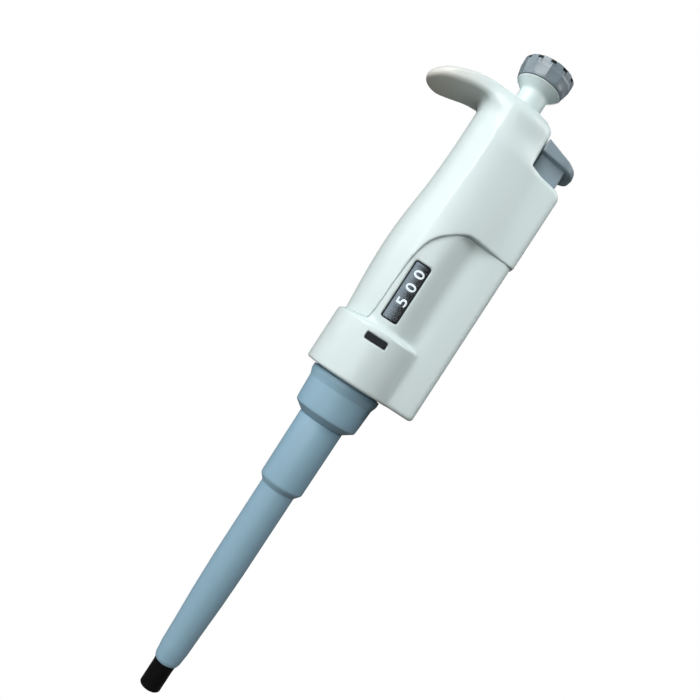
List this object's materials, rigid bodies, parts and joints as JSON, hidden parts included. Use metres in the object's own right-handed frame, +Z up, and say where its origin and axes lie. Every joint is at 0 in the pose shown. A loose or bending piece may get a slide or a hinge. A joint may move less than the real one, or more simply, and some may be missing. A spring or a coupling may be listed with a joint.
{
  "type": "adjustable micropipette",
  "caption": "Single-channel air-displacement pipette with a fluted setting knob, a side display, a finger hook and a thumb-worked tip ejector.",
  "frame": {"origin": "centre of the nozzle's end face, on the plunger axis", "axes": "+Z up the plunger axis towards the knob, -Y out of the display, -X along the finger hook, +X towards the tip ejector"},
  "size_m": [0.0565, 0.0306, 0.2304],
  "materials": {
    "body_white": "glossy moulded plastic",
    "ejector_blue": "satin moulded plastic",
    "ring_grey": "satin moulded plastic",
    "thumb_grey": "satin moulded plastic",
    "nozzle_black": "satin moulded plastic",
    "insert_black": "satin moulded plastic",
    "drum_black": "satin moulded plastic",
    "lens_clear": "clear polished plastic",
    "inner_white": "satin moulded plastic",
    "inner_grey": "satin moulded plastic",
    "steel": "turned steel",
    "brass": "turned brass",
    "rubber": "moulded rubber"
  },
  "bodies": {
    "handle": {"upper_handle": "body_white", "lower_housing": "body_white", "display_lens": "lens_clear", "slot_plug": "insert_black", "thread_nut": "brass", "top_bush": "inner_white", "chassis": "inner_grey", "counter_top_plate": "inner_grey", "chassis_screws": "steel", "pinion_axle": "steel", "return_spring": "steel", "blowout_spring": "steel", "blowout_washer": "steel", "piston_seal": "inner_white", "piston_o_ring": "rubber", "seal_retainer": "steel", "tip_cone": "nozzle_black", "cone_nut": "inner_grey", "ejector_spring": "steel"},
    "volume_lift": {"stop_washer": "brass"},
    "setting_screw": {"volume_screw": "steel"},
    "plunger": {"piston": "steel"},
    "knob": {"knob_hub": "body_white", "knob_ring": "ring_grey", "knob_cap": "insert_black", "knob_shaft": "steel", "shaft_collar": "steel"},
    "drive": {"drive_sleeve": "inner_white", "friction_ring": "rubber", "units_wheel": "drum_black"},
    "tens_drum": {"tens_wheel": "drum_black"},
    "hundreds_drum": {"hundreds_wheel": "drum_black"},
    "thousands_drum": {"thousands_wheel": "drum_black"},
    "tens_pinion": {"carry_pinion_tens": "inner_white"},
    "hundreds_pinion": {"carry_pinion_hundreds": "inner_white"},
    "thousands_pinion": {"carry_pinion_thousands": "inner_white"},
    "ejector": {"ejector_button": "thumb_grey", "ejector_rod": "steel", "rod_clip": "steel", "ejector_screw": "steel", "ejector_collar": "ejector_blue", "ejector_sleeve": "ejector_blue"}
  },
  "joints": [
    {"name": "volume_lift_slide", "type": "slide", "parent": "handle", "child": "volume_lift", "axis": [0, 0, 1], "range_m": [-0.004, 0.005]},
    {"name": "setting_screw_turn", "type": "hinge", "parent": "volume_lift", "child": "setting_screw", "pos_m": [0, 0, 0.17], "axis": [0, 0, 1], "range_deg": [-2880.03, 3600.04]},
    {"name": "plunger_press", "type": "slide", "parent": "volume_lift", "child": "plunger", "axis": [0, 0, 1], "range_m": [-0.007, 0], "stiffness_N_per_m": 200, "springref_m": 0.012, "deforming": ["return_spring"]},
    {"name": "knob_turn", "type": "hinge", "parent": "plunger", "child": "knob", "pos_m": [0, 0, 0.2], "axis": [0, 0, 1], "range_deg": [-2880.03, 3600.04]},
    {"name": "ejector_press", "type": "slide", "parent": "handle", "child": "ejector", "axis": [0, 0, 1], "range_m": [-0.0055, 0], "stiffness_N_per_m": 200, "springref_m": 0.01, "deforming": ["ejector_spring"]},
    {"name": "drive_turn", "type": "hinge", "parent": "handle", "child": "drive", "pos_m": [0, 0, 0.14], "axis": [0, 0, 1], "range_deg": [-2880.03, 3600.04]},
    {"name": "tens_turn", "type": "hinge", "parent": "handle", "child": "tens_drum", "pos_m": [0, 0, 0.14], "axis": [0, 0, 1], "range_deg": [-1440.01, 1800.02]},
    {"name": "hundreds_turn", "type": "hinge", "parent": "handle", "child": "hundreds_drum", "pos_m": [0, 0, 0.14], "axis": [0, 0, 1], "range_deg": [-144, 180]},
    {"name": "thousands_turn", "type": "hinge", "parent": "handle", "child": "thousands_drum", "pos_m": [0, 0, 0.14], "axis": [0, 0, 1], "range_deg": [-14.4, 18]},
    {"name": "tens_pinion_turn", "type": "hinge", "parent": "handle", "child": "tens_pinion", "pos_m": [0.01335, 0, 0.14], "axis": [0, 0, 1], "range_deg": [-4500.05, 3600.04]},
    {"name": "hundreds_pinion_turn", "type": "hinge", "parent": "handle", "child": "hundreds_pinion", "pos_m": [0.01335, 0, 0.14], "axis": [0, 0, 1], "range_deg": [-450, 360]},
    {"name": "thousands_pinion_turn", "type": "hinge", "parent": "handle", "child": "thousands_pinion", "pos_m": [0.01335, 0, 0.14], "axis": [0, 0, 1], "range_deg": [-45, 36]}
  ],
  "couplings": [
    {"joint": "knob_turn", "follows": "volume_lift_slide", "rad_per_m": 12566},
    {"joint": "setting_screw_turn", "follows": "volume_lift_slide", "rad_per_m": 12566},
    {"joint": "drive_turn", "follows": "volume_lift_slide", "rad_per_m": 12566},
    {"joint": "tens_turn", "follows": "volume_lift_slide", "rad_per_m": 6283.2},
    {"joint": "hundreds_turn", "follows": "volume_lift_slide", "rad_per_m": 628.32},
    {"joint": "thousands_turn", "follows": "volume_lift_slide", "rad_per_m": 62.832},
    {"joint": "tens_pinion_turn", "follows": "volume_lift_slide", "rad_per_m": -15708},
    {"joint": "hundreds_pinion_turn", "follows": "volume_lift_slide", "rad_per_m": -1570.8},
    {"joint": "thousands_pinion_turn", "follows": "volume_lift_slide", "rad_per_m": -157.08}
  ]
}
